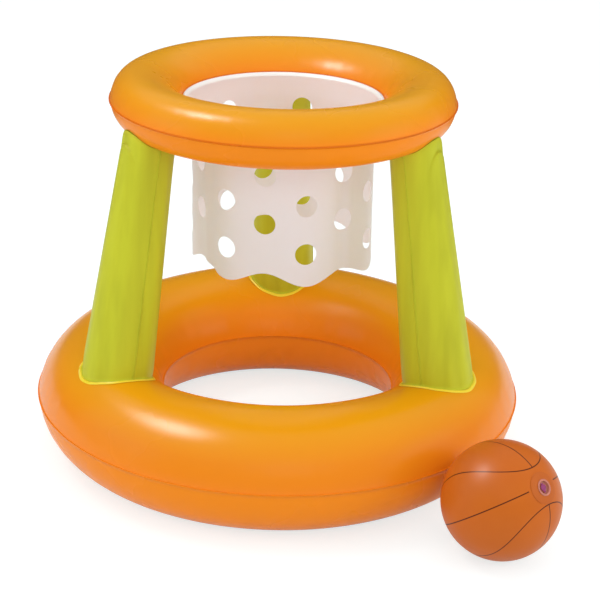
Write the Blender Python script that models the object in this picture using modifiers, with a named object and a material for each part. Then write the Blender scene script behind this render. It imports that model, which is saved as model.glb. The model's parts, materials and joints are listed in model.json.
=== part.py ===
"""Floating basketball hoop with its ball.

A wide inflated ring floats and carries three inflated legs. The legs hold a smaller inflated ring, the
rim, and a perforated net sheet hangs from the rim's inner seam. The base, the upper frame and the ball
each have a push-in valve. Metres, +Z up. The origin is on the floor, at the middle of the whole set.
"""
import math

import bmesh
import bpy
from mathutils import Matrix, Vector

# Film and fits
film = 0.0003
clearance = 0.0003
cut_overrun = 0.010
merge_distance = 0.00001
seam_lip = 0.0015

# Base ring
base_outer_radius = 0.335
base_inner_radius = 0.160
base_upper_height = 0.072
base_lower_height = 0.0835
base_floor_press = 0.0013
base_upper_facets = 8
base_side_facets = 4

# Rim
rim_outer_radius = 0.230
rim_inner_radius = 0.133
rim_upper_height = 0.036
rim_lower_height = 0.036
rim_seam_height = 0.496
rim_crown_shift = 0.011
rim_facets = 6
ring_steps = 48

# Legs
leg_azimuths = {"back": 90, "left": 210, "right": 330}
leg_foot_inset = 0.0015
leg_head_outset = 0.0145
leg_foot_half_depth = 0.046
leg_foot_half_width = 0.047
leg_head_half_depth = 0.031
leg_head_half_width = 0.033
leg_seam_lip = 0.0012
leg_half_facets = 9
foot_weld_lip = 0.005
head_weld_lip = 0.002
weld_disc_steps = 24
air_hole_radius = 0.008

# Net
net_inset = 0.0115
net_top_drop = 0.034
net_drop = 0.2204
net_flute_depth = 0.0022
net_scallop_count = 7
net_scallop_depth = 0.0158
net_steps = 42
net_hole_radius = 0.0142
net_hole_pitch = 0.065
net_low_hole_count = 3
net_high_hole_count = 2
net_low_column_rise = 0.0445
net_high_column_rise = 0.0845
net_hole_steps = 8
net_azimuth = -75.4
net_seam_grip = 0.0012
net_band_height = 0.006

# Valves
valve_flange_radius = 0.0105
valve_flange_thickness = 0.0005
valve_recess_radius = 0.0080
valve_recess_depth = 0.0030
valve_wall = 0.0005
valve_collar_depth = 0.0080
stem_bore_radius = 0.0025
stem_outer_radius = 0.0035
stem_head_radius = 0.0045
stem_head_thickness = 0.0008
stem_bead_radius = 0.0042
stem_bead_thickness = 0.0010
stem_travel = 0.010
hinge_offset = 0.0060
hinge_width = 0.0030
stopper_radius = 0.0042
stopper_thickness = 0.0011
stopper_strap_thickness = 0.0006
stopper_pull_length = 0.0016
plug_root_radius = 0.0022
plug_tip_radius = 0.0017
plug_length = 0.0030
flap_radius = 0.0032
flap_thickness = 0.0005
valve_steps = 16
base_valve_facet = 1
base_valve_step = 7
base_valve_share = 0.5
frame_valve_facet = 0
frame_valve_step = 7
frame_valve_share = 0.4

# Ball
ball_radius = 0.0756
ball_gap = 0.0137
ball_azimuth = -48.34
ball_gore_count = 6
ball_gore_column_steps = 4
ball_gore_row_steps = 10
ball_gore_tip_radius = 0.0100
ball_disc_radius = 0.0200
ball_disc_steps = 24
ball_pole_azimuth = -45.5
ball_pole_elevation = 34.4

# Where the ball lies from the hoop's centre, and where that centre stands, so that the set's bounding
# box is centred on the origin
ball_distance = base_outer_radius + ball_gap + ball_radius
ball_x = ball_distance * math.cos(math.radians(ball_azimuth))
ball_y = ball_distance * math.sin(math.radians(ball_azimuth))
hoop_x = -max(0, ball_x + ball_radius - base_outer_radius) / 2
hoop_y = -min(0, ball_y - ball_radius + base_outer_radius) / 2

# Colours, as display values
orange = (0.95, 0.55, 0.11)
lime = (0.74, 0.76, 0.17)
frosted_white = (0.91, 0.87, 0.86)
ball_orange = (0.79, 0.42, 0.16)
valve_clear = (0.85, 0.82, 0.80)
valve_violet = (0.52, 0.20, 0.42)


# Scene and materials

def clear_scene():
    for obj in list(bpy.data.objects):
        bpy.data.objects.remove(obj, do_unlink=True)


def new_collection(name):
    group = bpy.data.collections.new(name)
    bpy.context.scene.collection.children.link(group)
    return group


def to_linear(value):
    if value <= 0.04045:
        return value / 12.92
    return ((value + 0.055) / 1.055) ** 2.4


def make_material(name, colour, roughness):
    material = bpy.data.materials.new(name)
    material.use_nodes = True
    shader = material.node_tree.nodes["Principled BSDF"]
    linear = [to_linear(value) for value in colour]
    shader.inputs["Base Color"].default_value = (*linear, 1)
    shader.inputs["Roughness"].default_value = roughness
    shader.inputs["Metallic"].default_value = 0
    return material


def make_empty(name, parent, matrix):
    empty = bpy.data.objects.new(name, None)
    parts.objects.link(empty)
    empty.parent = parent
    empty.matrix_local = matrix
    empty.empty_display_size = stem_travel
    return empty


def make_object(name, mesh, material, parent):
    obj = bpy.data.objects.new(name, mesh)
    if material is None:
        cutters.objects.link(obj)
        obj.hide_render = True
        obj.display_type = "WIRE"
    else:
        parts.objects.link(obj)
        mesh.materials.append(material)
    obj.parent = parent
    return obj


# Outlines: a film's section is a line that runs clockwise, with the film on its right-hand side

def offset_line(points, distance):
    """Moves an open line to its right by a distance, with mitred corners."""
    normals = []
    for start, end in zip(points, points[1:]):
        run = (Vector(end) - Vector(start)).normalized()
        normals.append(Vector((run.y, -run.x)))
    moved = []
    for index, point in enumerate(points):
        before = normals[max(index - 1, 0)]
        after = normals[min(index, len(normals) - 1)]
        shift = (before + after) * distance / (1 + before.dot(after))
        moved.append(tuple(Vector(point) + shift))
    return moved


def film_loop(points):
    """Closes a line and the same line one film thickness inside it."""
    return list(points) + offset_line(points, film)[::-1]


def arc_line(half_width, height, facets, press=0):
    """A chamber's half section over its seams, left to right. A press cuts it flat at its height."""
    full = height + press
    radius = (half_width ** 2 + full ** 2) / (2 * full)
    seam_angle = math.atan2(half_width, radius - full)
    flat_angle = math.acos((radius - press) / radius)
    side = []
    for step in range(facets + 1):
        angle = seam_angle + (flat_angle - seam_angle) * step / facets
        side.append((radius * math.sin(angle), radius * math.cos(angle) - radius + full))
    left = [(-across, up) for across, up in side]
    if press == 0:
        return left[:-1] + side[::-1]
    return left + side[::-1]


def ring_line(outer, inner, height, facets, grip, press=0, crown_shift=0, below=False):
    """A ring sheet's outer line with its seam lips, round the seam's level, clockwise."""
    centre = (outer + inner) / 2
    half_width = (outer - inner) / 2 - seam_lip
    outer_level = clearance / 2 + film
    inner_level = grip / 2 + film
    line = [(inner, inner_level)]
    for across, up in arc_line(half_width, height - outer_level, facets, press):
        share = (across / half_width + 1) / 2
        level = inner_level + (outer_level - inner_level) * share
        shifted = across + crown_shift * (1 - (across / half_width) ** 2)
        line.append((centre + shifted, level + up))
    line.append((outer, outer_level))
    if below:
        return [(radius, -level) for radius, level in line[::-1]]
    return line


def raise_line(points, height):
    return [(radius, level + height) for radius, level in points]


def turned(name, outline, steps, material, parent, closed=True):
    """Turns an outline round Z. A closed one goes round a bore, and an open one ends on the axis."""
    mesh = bpy.data.meshes.new(name)
    count = len(outline)
    edges = [(index, index + 1) for index in range(count - 1)]
    if closed:
        edges.append((count - 1, 0))
    mesh.from_pydata([(radius, 0, level) for radius, level in outline], edges, [])
    obj = make_object(name, mesh, material, parent)
    screw = obj.modifiers.new("Turn", "SCREW")
    screw.axis = "Z"
    screw.angle = 2 * math.pi
    screw.steps = steps
    screw.render_steps = steps
    screw.use_merge_vertices = True
    screw.merge_threshold = merge_distance
    screw.use_smooth_shade = False
    return obj


def combine(obj, other, operation):
    modifier = obj.modifiers.new(operation.title(), "BOOLEAN")
    modifier.operation = operation
    modifier.solver = "EXACT"
    modifier.object = other


def upright_prism(name, centre, half_depth, half_width, low, high, azimuth, steps, parent):
    """An oval cutter that stands upright, its depth along the azimuth."""
    mesh = bpy.data.meshes.new(name)
    shape = bmesh.new()
    bmesh.ops.create_cone(shape, cap_ends=True, segments=steps, radius1=1, radius2=1, depth=1)
    size = Matrix.Diagonal((half_depth, half_width, high - low, 1))
    place = Matrix.Translation((centre[0], centre[1], (high + low) / 2))
    turn = Matrix.Rotation(math.radians(azimuth), 4, "Z")
    bmesh.ops.transform(shape, matrix=place @ turn @ size, verts=shape.verts)
    shape.to_mesh(mesh)
    shape.free()
    return make_object(name, mesh, None, parent)


# Section lines that several pieces follow

net_grip = film + 2 * clearance
leg_foot_radius = (base_outer_radius + base_inner_radius) / 2 - leg_foot_inset
leg_head_radius = (rim_outer_radius + rim_inner_radius) / 2 + leg_head_outset
net_radius = rim_inner_radius - net_inset
base_upper_line = raise_line(
    ring_line(base_outer_radius, base_inner_radius, base_upper_height, base_upper_facets // 2, clearance),
    base_lower_height)
base_lower_line = raise_line(
    ring_line(base_outer_radius, base_inner_radius, base_lower_height, base_side_facets, clearance,
              press=base_floor_press, below=True),
    base_lower_height)
rim_upper_line = raise_line(
    ring_line(rim_outer_radius, rim_inner_radius, rim_upper_height, rim_facets // 2, net_grip,
              crown_shift=rim_crown_shift),
    rim_seam_height)
rim_lower_line = raise_line(
    ring_line(rim_outer_radius, rim_inner_radius, rim_lower_height, rim_facets // 2, net_grip,
              crown_shift=rim_crown_shift, below=True),
    rim_seam_height)


# Rings

def make_rings(hoop, material):
    rings = {}
    lines = {
        "base_ring_upper_sheet": base_upper_line,
        "base_ring_lower_sheet": base_lower_line,
        "rim_upper_sheet": rim_upper_line,
        "rim_lower_sheet": rim_lower_line,
    }
    for name, line in lines.items():
        rings[name] = turned(name, film_loop(line), ring_steps, material, hoop)
    return rings


# Legs

def leg_half_line(half_depth, half_width):
    """The outer half of a leg's section with its seam lips, as radial and tangential places."""
    level = clearance / 2 + film
    line = [(level, half_width + leg_seam_lip)]
    for step in range(leg_half_facets + 1):
        angle = math.pi * (1 - 2 * step / leg_half_facets) / 2
        depth = level + (half_depth - level) * math.cos(angle)
        line.append((depth, half_width * math.sin(angle)))
    line.append((level, -half_width - leg_seam_lip))
    return line


def leg_section(height, azimuth, inward):
    """One leg sheet's closed section at a height, on the leg's straight taper from foot to head."""
    foot_height = base_lower_height + base_upper_height
    head_height = rim_seam_height - rim_lower_height
    share = (height - foot_height) / (head_height - foot_height)
    half_depth = leg_foot_half_depth + (leg_head_half_depth - leg_foot_half_depth) * share
    half_width = leg_foot_half_width + (leg_head_half_width - leg_foot_half_width) * share
    centre = leg_foot_radius + (leg_head_radius - leg_foot_radius) * share
    loop = film_loop(leg_half_line(half_depth, half_width))
    side = -1 if inward else 1
    turn = math.radians(azimuth)
    places = []
    for depth, along in loop:
        radial = centre + side * depth
        x = radial * math.cos(turn) - along * math.sin(turn)
        y = radial * math.sin(turn) + along * math.cos(turn)
        places.append((x, y, height))
    return places


def make_leg_sheet(name, azimuth, inward, material, hoop):
    """A loft between the sections at the foot and the head, both past the rings' surfaces."""
    low = base_lower_height + base_upper_height / 2
    shape = bmesh.new()
    bottom = [shape.verts.new(place) for place in leg_section(low, azimuth, inward)]
    top = [shape.verts.new(place) for place in leg_section(rim_seam_height, azimuth, inward)]
    count = len(bottom)
    for index in range(count):
        after = (index + 1) % count
        shape.faces.new((bottom[index], top[index], top[after], bottom[after]))
    shape.faces.new(bottom)
    shape.faces.new(top[::-1])
    bmesh.ops.recalc_face_normals(shape, faces=shape.faces)
    mesh = bpy.data.meshes.new(name)
    shape.to_mesh(mesh)
    shape.free()
    return make_object(name, mesh, material, hoop)


def ring_cutter(name, line, level_shift, hoop):
    """The space that a leg may not enter: a ring, its weld disc and a gap on both sides of it."""
    surface = offset_line(line[1:-1], -(2 * clearance + film))
    first = surface[0]
    last = surface[-1]
    closed = surface + [(last[0], last[1] + level_shift), (first[0], first[1] + level_shift)]
    return turned(name, closed, ring_steps, None, hoop)


def weld_disc(name, line, prism, material, hoop):
    """A disc of film that lies on a ring, one gap off it, cut to the oval of its prism."""
    inside = offset_line(line[1:-1], -clearance)
    outside = offset_line(line[1:-1], -(clearance + film))
    disc = turned(name, outside + inside[::-1], ring_steps, material, hoop)
    combine(disc, prism, "INTERSECT")
    return disc


def make_legs(rings, hoop, material):
    foot_cutter = ring_cutter("foot_cutter", base_upper_line, -cut_overrun, hoop)
    head_cutter = ring_cutter("head_cutter", rim_lower_line, cut_overrun, hoop)
    foot_low = base_lower_height + base_upper_height / 2
    foot_high = base_lower_height + base_upper_height + cut_overrun
    head_low = rim_seam_height - rim_lower_height - cut_overrun
    for side, azimuth in leg_azimuths.items():
        turn = math.radians(azimuth)
        foot = (leg_foot_radius * math.cos(turn), leg_foot_radius * math.sin(turn))
        head = (leg_head_radius * math.cos(turn), leg_head_radius * math.sin(turn))
        foot_prism = upright_prism(
            side + "_foot_prism", foot, leg_foot_half_depth + foot_weld_lip,
            leg_foot_half_width + foot_weld_lip, foot_low, foot_high, azimuth, weld_disc_steps, hoop)
        head_prism = upright_prism(
            side + "_head_prism", head, leg_head_half_depth + head_weld_lip,
            leg_head_half_width + head_weld_lip, head_low, rim_seam_height, azimuth,
            weld_disc_steps, hoop)
        air_prism = upright_prism(
            side + "_air_prism", head, air_hole_radius, air_hole_radius, head_low,
            rim_seam_height, azimuth, valve_steps, hoop)
        weld_disc(side + "_leg_foot_disc", base_upper_line, foot_prism, material, hoop)
        head_disc = weld_disc(side + "_leg_head_disc", rim_lower_line, head_prism, material, hoop)
        combine(head_disc, air_prism, "DIFFERENCE")
        combine(rings["rim_lower_sheet"], air_prism, "DIFFERENCE")
        for name, inward in (("outer", False), ("inner", True)):
            sheet = make_leg_sheet(f"{side}_leg_{name}_sheet", azimuth, inward, material, hoop)
            combine(sheet, foot_cutter, "DIFFERENCE")
            combine(sheet, head_cutter, "DIFFERENCE")


# Net

def net_profile():
    """The net's middle line, from the rim's seam inward and down to the hem."""
    gripped = rim_inner_radius + net_seam_grip
    turn = rim_inner_radius - clearance - film
    return [
        (gripped, rim_seam_height),
        (turn, rim_seam_height),
        (net_radius, rim_seam_height - net_top_drop),
        (net_radius, rim_seam_height - net_drop),
    ]


def net_wave(azimuth):
    return math.cos(net_scallop_count * (azimuth - math.radians(net_azimuth)))


def flute_net(shape):
    """Gives the turned sheet its soft flutes, which fade towards the rim, and its scalloped hem."""
    hem = rim_seam_height - net_drop
    fluted = net_drop - net_top_drop
    for vertex in shape.verts:
        azimuth = math.atan2(vertex.co.y, vertex.co.x)
        share = min(max((rim_seam_height - net_top_drop - vertex.co.z) / fluted, 0), 1)
        radius = Vector(vertex.co.xy).length
        scale = 1 + net_flute_depth * net_wave(azimuth) * share / radius
        vertex.co.x *= scale
        vertex.co.y *= scale
        if vertex.co.z < hem + merge_distance:
            vertex.co.z += net_scallop_depth * (1 - net_wave(azimuth)) / 2


def make_net(hoop, material):
    shape = bmesh.new()
    line = [shape.verts.new((radius, 0, level)) for radius, level in net_profile()]
    edges = [shape.edges.new(pair) for pair in zip(line, line[1:])]
    bmesh.ops.spin(shape, geom=line + edges, axis=(0, 0, 1), cent=(0, 0, 0), steps=net_steps,
                   angle=2 * math.pi, use_merge=True)
    bmesh.ops.remove_doubles(shape, verts=shape.verts, dist=merge_distance)
    turn = Matrix.Rotation(math.radians(net_azimuth), 4, "Z")
    bmesh.ops.transform(shape, matrix=turn, verts=shape.verts)
    flute_net(shape)
    bmesh.ops.recalc_face_normals(shape, faces=shape.faces)
    mesh = bpy.data.meshes.new("net_sheet")
    shape.to_mesh(mesh)
    shape.free()
    net = make_object("net_sheet", mesh, material, hoop)
    wall = net.modifiers.new("Film", "SOLIDIFY")
    wall.thickness = film
    wall.offset = 0
    wall.use_even_offset = True
    combine(net, make_net_punch(hoop), "DIFFERENCE")
    return net


def make_net_punch(hoop):
    """Round punches that point outward, in columns whose rows are staggered."""
    hem = rim_seam_height - net_drop
    columns = 2 * net_scallop_count
    reach = 2 * cut_overrun
    half_step = Matrix.Rotation(math.pi / net_hole_steps, 4, "Z")
    shape = bmesh.new()
    for column in range(columns):
        azimuth = math.radians(net_azimuth) + 2 * math.pi * column / columns
        low = column % 2 == 0
        rows = net_low_hole_count if low else net_high_hole_count
        rise = net_low_column_rise if low else net_high_column_rise
        for row in range(rows):
            level = hem + rise + row * net_hole_pitch
            centre = (net_radius * math.cos(azimuth), net_radius * math.sin(azimuth), level)
            aim = Matrix.Rotation(azimuth, 4, "Z") @ Matrix.Rotation(math.pi / 2, 4, "Y") @ half_step
            bmesh.ops.create_cone(shape, cap_ends=True, segments=net_hole_steps, radius1=net_hole_radius,
                                  radius2=net_hole_radius, depth=reach,
                                  matrix=Matrix.Translation(centre) @ aim)
    mesh = bpy.data.meshes.new("net_punch")
    shape.to_mesh(mesh)
    shape.free()
    return make_object("net_punch", mesh, None, hoop)


def make_net_band(hoop, material):
    """A narrow doubling strip inside the net, under the rim's seam."""
    top, bottom = net_profile()[1:3]
    drop_share = net_band_height / (top[1] - bottom[1])
    inset = clearance + film
    low = (top[0] + (bottom[0] - top[0]) * drop_share - inset, top[1] - net_band_height)
    high = (top[0] - inset, top[1])
    band = turned("net_weld_band", film_loop([high, low]), net_steps, material, hoop)
    band.rotation_euler.z = math.radians(net_azimuth)
    return band


# Valves: in a valve's own frame +Z points out of the chamber and its surface is at zero

head_top = -valve_recess_depth + clearance + stem_head_thickness
head_bottom = -valve_recess_depth + clearance
bead_top = -valve_collar_depth - stem_travel - clearance
stem_bottom = bead_top - stem_bead_thickness
stopper_bottom = head_top + clearance
collar_bore_radius = stem_outer_radius + clearance
collar_outer_radius = collar_bore_radius + valve_wall
cup_outer_radius = valve_recess_radius + valve_wall
cup_underside = -valve_recess_depth - valve_wall
valve_hole_radius = cup_outer_radius + clearance


def make_block(name, low, high, parent):
    """A box between two corners, kept as a cutter that is joined to a piece."""
    mesh = bpy.data.meshes.new(name)
    shape = bmesh.new()
    bmesh.ops.create_cube(shape, size=1)
    span = Vector(high) - Vector(low)
    middle = (Vector(high) + Vector(low)) / 2
    bmesh.ops.transform(shape, matrix=Matrix.Translation(middle) @ Matrix.Diagonal((*span, 1)),
                        verts=shape.verts)
    shape.to_mesh(mesh)
    shape.free()
    return make_object(name, mesh, None, parent)


def make_valve_cup(name, frame, material):
    outline = [
        (valve_recess_radius, clearance + valve_flange_thickness),
        (valve_flange_radius, clearance + valve_flange_thickness),
        (valve_flange_radius, clearance),
        (cup_outer_radius, clearance),
        (cup_outer_radius, cup_underside),
        (collar_outer_radius, cup_underside),
        (collar_outer_radius, -valve_collar_depth),
        (collar_bore_radius, -valve_collar_depth),
        (collar_bore_radius, -valve_recess_depth),
        (valve_recess_radius, -valve_recess_depth),
    ]
    return turned(name + "_valve_cup", outline, valve_steps, material, frame)


def make_valve_stem(name, frame, material):
    outline = [
        (stem_bore_radius, head_top),
        (stem_head_radius, head_top),
        (stem_head_radius, head_bottom),
        (stem_outer_radius, head_bottom),
        (stem_outer_radius, bead_top),
        (stem_bead_radius, bead_top),
        (stem_bead_radius, stem_bottom),
        (stem_bore_radius, stem_bottom),
    ]
    stem = turned(name + "_valve_stem", outline, valve_steps, material, frame)
    lug_start = (stem_bore_radius + stem_head_radius) / 2
    lug = make_block(name + "_lug", (lug_start, -hinge_width / 2, head_bottom),
                     (hinge_offset, hinge_width / 2, head_top), frame)
    combine(stem, lug, "UNION")
    return stem


def make_valve_stopper(name, frame, material):
    """The plug on its strap, on an empty that lies on the strap's hinge line."""
    pivot = Vector((hinge_offset, 0, head_top + clearance / 2))
    hinge = make_empty(name + "_stopper_hinge", frame, Matrix.Translation(pivot))
    outline = [
        (0, stopper_bottom + stopper_thickness),
        (stopper_radius, stopper_bottom + stopper_thickness),
        (stopper_radius, stopper_bottom),
        (plug_root_radius, stopper_bottom),
        (plug_tip_radius, stopper_bottom - plug_length),
        (0, stopper_bottom - plug_length),
    ]
    stopper = turned(name + "_valve_stopper", outline, valve_steps, material, hinge, closed=False)
    stopper.location = -pivot
    strap_start = -stopper_radius - stopper_pull_length
    strap = make_block(name + "_strap", (strap_start, -hinge_width / 2, stopper_bottom),
                       (hinge_offset, hinge_width / 2, stopper_bottom + stopper_strap_thickness), frame)
    combine(stopper, strap, "UNION")
    return stopper


def make_check_flap(name, frame, material):
    """The flap that closes the stem's inner end, on an empty on its hinge line."""
    pivot = Vector((flap_radius, 0, stem_bottom - clearance / 2))
    hinge = make_empty(name + "_flap_hinge", frame, Matrix.Translation(pivot))
    top = stem_bottom - clearance
    outline = [(0, top), (flap_radius, top), (flap_radius, top - flap_thickness), (0, top - flap_thickness)]
    flap = turned(name + "_check_flap", outline, valve_steps, material, hinge, closed=False)
    flap.location = -pivot
    return flap


def make_valve(name, parent, matrix, clear, violet):
    frame = make_empty(name + "_valve_frame", parent, matrix)
    make_valve_cup(name, frame, clear)
    make_valve_stem(name, frame, clear)
    make_valve_stopper(name, frame, violet)
    make_check_flap(name, frame, clear)
    return frame


def facet_frame(line, facet, step, share):
    """A frame on one facet of a turned upper sheet, counted from its outer seam, +Z out and +X round
    the ring. The share runs from the facet's upper edge to its lower one."""
    start = Vector(line[-3 - facet])
    end = Vector(line[-2 - facet])
    middle = start.lerp(end, share)
    half_step = math.pi / ring_steps
    turn = 2 * math.pi * step / ring_steps + half_step
    run = Vector(((end.x - start.x) * math.cos(half_step), end.y - start.y)).normalized()
    outward = Vector((math.cos(turn), math.sin(turn), 0))
    around = Vector((-math.sin(turn), math.cos(turn), 0))
    normal = (outward * -run.y + Vector((0, 0, run.x))).normalized()
    place = outward * middle.x * math.cos(half_step) + Vector((0, 0, middle.y))
    across = normal.cross(around)
    axes = Matrix((around, across, normal)).transposed().to_4x4()
    return Matrix.Translation(place) @ axes


def drill(sheet, name, frame):
    """Cuts a valve's round hole through the sheet that carries it."""
    mesh = bpy.data.meshes.new(name)
    shape = bmesh.new()
    bmesh.ops.create_cone(shape, cap_ends=True, segments=valve_steps, radius1=valve_hole_radius,
                          radius2=valve_hole_radius, depth=cut_overrun)
    shape.to_mesh(mesh)
    shape.free()
    combine(sheet, make_object(name, mesh, None, frame), "DIFFERENCE")


# Ball

def make_gore(name, azimuth, material, ball):
    """One spherical segment between the poles, half a gap in from its two edges."""
    shape = bmesh.new()
    bmesh.ops.create_grid(shape, x_segments=ball_gore_column_steps, y_segments=ball_gore_row_steps, size=1)
    tip_latitude = math.acos(ball_gore_tip_radius / ball_radius)
    for vertex in shape.verts:
        latitude = tip_latitude * vertex.co.y
        inset = clearance / 2 / (ball_radius * math.cos(latitude))
        longitude = azimuth + vertex.co.x * (math.pi / ball_gore_count - inset)
        flat = ball_radius * math.cos(latitude)
        level = ball_radius * math.sin(latitude)
        vertex.co = (flat * math.cos(longitude), flat * math.sin(longitude), level)
    mesh = bpy.data.meshes.new(name)
    shape.to_mesh(mesh)
    shape.free()
    gore = make_object(name, mesh, material, ball)
    wall = gore.modifiers.new("Film", "SOLIDIFY")
    wall.thickness = film
    wall.offset = -1
    wall.use_even_offset = True
    return gore


def dome_line(radius, inner, outer, rows):
    """An arc over a pole, from one distance off the axis to another."""
    start = math.asin(inner / radius)
    end = math.asin(outer / radius)
    angles = [start + (end - start) * row / rows for row in range(rows + 1)]
    return [(radius * math.sin(angle), radius * math.cos(angle)) for angle in angles]


def make_ball(materials):
    shift = Vector((hoop_x + ball_x, hoop_y + ball_y, ball_radius))
    elevation = math.radians(ball_pole_elevation)
    tilt = Matrix.Rotation(math.pi / 2 - elevation, 4, "Y")
    turn = Matrix.Rotation(math.radians(ball_pole_azimuth), 4, "Z")
    ball = make_empty("ball_frame", None, Matrix.Translation(shift) @ turn @ tilt)
    for index in range(ball_gore_count):
        azimuth = 2 * math.pi * index / ball_gore_count
        make_gore(f"ball_gore_{index + 1}", azimuth, materials["ball"], ball)
    over = ball_radius + clearance + film
    valve_line = dome_line(over, valve_hole_radius, ball_disc_radius, 2)
    inner_line = dome_line(over - film, valve_hole_radius, ball_disc_radius, 2)
    turned("ball_valve_disc", valve_line + inner_line[::-1], ball_disc_steps, materials["ball"], ball)
    far_line = dome_line(over, 0, ball_disc_radius, 3)
    far_inner_line = dome_line(over - film, 0, ball_disc_radius, 3)
    far_disc = turned("ball_far_disc", far_line + far_inner_line[::-1], ball_disc_steps,
                      materials["ball"], ball, closed=False)
    far_disc.rotation_euler.x = math.pi
    surface = Matrix.Translation((0, 0, valve_line[0][1]))
    make_valve("ball", ball, surface, materials["clear"], materials["violet"])


clear_scene()
parts = new_collection("floating_basketball_hoop")
cutters = new_collection("cutters")
finishes = {
    "orange": make_material("orange_vinyl", orange, 0.28),
    "lime": make_material("lime_vinyl", lime, 0.32),
    "net": make_material("frosted_vinyl", frosted_white, 0.45),
    "ball": make_material("ball_vinyl", ball_orange, 0.35),
    "clear": make_material("clear_valve", valve_clear, 0.25),
    "violet": make_material("violet_stopper", valve_violet, 0.25),
}
hoop_frame = make_empty("hoop_frame", None, Matrix.Translation((hoop_x, hoop_y, 0)))
ring_sheets = make_rings(hoop_frame, finishes["orange"])
make_legs(ring_sheets, hoop_frame, finishes["lime"])
make_net(hoop_frame, finishes["net"])
make_net_band(hoop_frame, finishes["net"])
base_valve = make_valve(
    "base", hoop_frame, facet_frame(base_upper_line, base_valve_facet, base_valve_step, base_valve_share),
    finishes["clear"], finishes["violet"])
drill(ring_sheets["base_ring_upper_sheet"], "base_valve_drill", base_valve)
frame_valve = make_valve(
    "frame", hoop_frame, facet_frame(rim_upper_line, frame_valve_facet, frame_valve_step, frame_valve_share),
    finishes["clear"], finishes["violet"])
drill(ring_sheets["rim_upper_sheet"], "frame_valve_drill", frame_valve)
make_ball(finishes)
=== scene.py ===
import json
import math

import bmesh
import bpy
import numpy as np
from mathutils import Matrix, Vector


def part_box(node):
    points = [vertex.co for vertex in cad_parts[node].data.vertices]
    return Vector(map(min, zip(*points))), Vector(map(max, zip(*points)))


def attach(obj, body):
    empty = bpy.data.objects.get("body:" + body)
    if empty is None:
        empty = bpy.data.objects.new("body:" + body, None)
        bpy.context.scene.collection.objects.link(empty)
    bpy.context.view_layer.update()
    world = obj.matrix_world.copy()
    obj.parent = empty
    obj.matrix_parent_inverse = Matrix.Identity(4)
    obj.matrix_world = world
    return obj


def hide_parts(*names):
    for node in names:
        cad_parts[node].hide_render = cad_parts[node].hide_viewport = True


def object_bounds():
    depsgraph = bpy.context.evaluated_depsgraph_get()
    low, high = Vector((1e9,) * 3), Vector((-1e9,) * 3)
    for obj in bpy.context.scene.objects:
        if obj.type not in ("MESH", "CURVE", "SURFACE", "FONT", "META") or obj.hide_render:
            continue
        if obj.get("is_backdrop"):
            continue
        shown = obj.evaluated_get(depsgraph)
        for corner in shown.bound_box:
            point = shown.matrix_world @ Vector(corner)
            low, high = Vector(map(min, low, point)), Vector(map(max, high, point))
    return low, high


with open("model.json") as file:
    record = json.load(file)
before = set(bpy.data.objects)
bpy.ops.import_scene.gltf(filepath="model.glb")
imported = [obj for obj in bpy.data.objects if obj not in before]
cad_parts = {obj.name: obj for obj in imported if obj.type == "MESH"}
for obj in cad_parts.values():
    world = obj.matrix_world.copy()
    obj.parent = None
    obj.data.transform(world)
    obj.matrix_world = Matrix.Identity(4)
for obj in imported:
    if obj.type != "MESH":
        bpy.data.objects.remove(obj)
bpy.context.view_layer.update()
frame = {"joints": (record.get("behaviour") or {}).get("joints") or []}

# Film and fits, in metres like every size here

film = 0.0003
gap = 0.0003
hairline = 0.00006
merge_distance = 0.000001

# Ring sizes

seam_lip = 0.0015
ring_steps = 384
base_ring = dict(
    outer=0.335, inner=0.160, seam=0.0835,  # the radii of both seams, and their level
    over=0.072, under=0.0835,  # how far the tube stands over the seam, and hangs under it
    shift=0.0, press=0.0013,  # how far the crown leans outwards, and the floor presses the tube flat
    grip=gap, pucker=0.00030,  # the gap at the inner seam, and the depth of the puckers
)
rim_ring = dict(outer=0.230, inner=0.133, seam=0.496, over=0.036, under=0.036, shift=0.011, press=0.0,
                grip=film + 2 * gap, pucker=0.00018)

# Puckers, as their reach from the seam and their waves round the ring: count, phase and strength

outer_puckers = (0.0065, ((47, 0.4, 0.5), (71, 2.1, 0.35), (103, 4.0, 0.25)))
inner_puckers = (0.0075, ((29, 1.3, 0.6), (43, 5.2, 0.4)))

# Leg sizes

leg_azimuths = {"back": 90, "left": 210, "right": 330}
leg_foot = dict(radius=0.2450, depth=0.0474, width=0.0488, height=0.1555)
leg_head = dict(radius=0.1967, depth=0.0336, width=0.0350, height=0.460)
leg_steps = 112
leg_lip = 0.0012
lip_mark = 1.05
foot_lip = 0.0040
foot_bead = 0.0015
foot_roll = 0.0165
foot_roll_reach = 0.105
head_lean_reach = 0.02

# Forms of the legs' film, as their depth and how far they reach from the foot or the head

foot_tuck = (0.0022, 0.007)
foot_flare = (0.0020, 0.0011)
foot_crease = (0.0009, 0.018)
foot_crease_start = 0.003
head_flare = (0.0014, 0.020)
head_tuck = (0.0026, 0.0045)
flute_depth = 0.00045
flute_calm = (0.85, 0.025)

# Net sizes

net_radius = 0.1215
net_top_drop = 0.034
net_drop = 0.2204
net_flange = 0.0012
net_step_in = (0.0052, 0.0028)
net_band_drop = 0.0044
net_scallop_depth = 0.0158
net_flute_depth = 0.0022
net_sway = 0.0009
net_azimuth = math.radians(-75.4)
net_lean = 0.004
net_steps = 336
net_scallops = 7
net_hole_radius = 0.0142
net_hole_pitch = 0.065
punch_lean = 0.0024

# Columns of holes at the scallops' tips and between them, as count and the lowest one's height over the tips

tip_column = (3, 0.0445)
valley_column = (2, 0.0845)

# Folds that run down the net's top, as azimuth, depth and width

net_folds = ((-146, 0.0016, 0.006), (-139, -0.0018, 0.007), (-44, 0.0014, 0.006), (-51, -0.0016, 0.007),
             (90, 0.0005, 0.0022))

# Ball sizes

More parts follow.
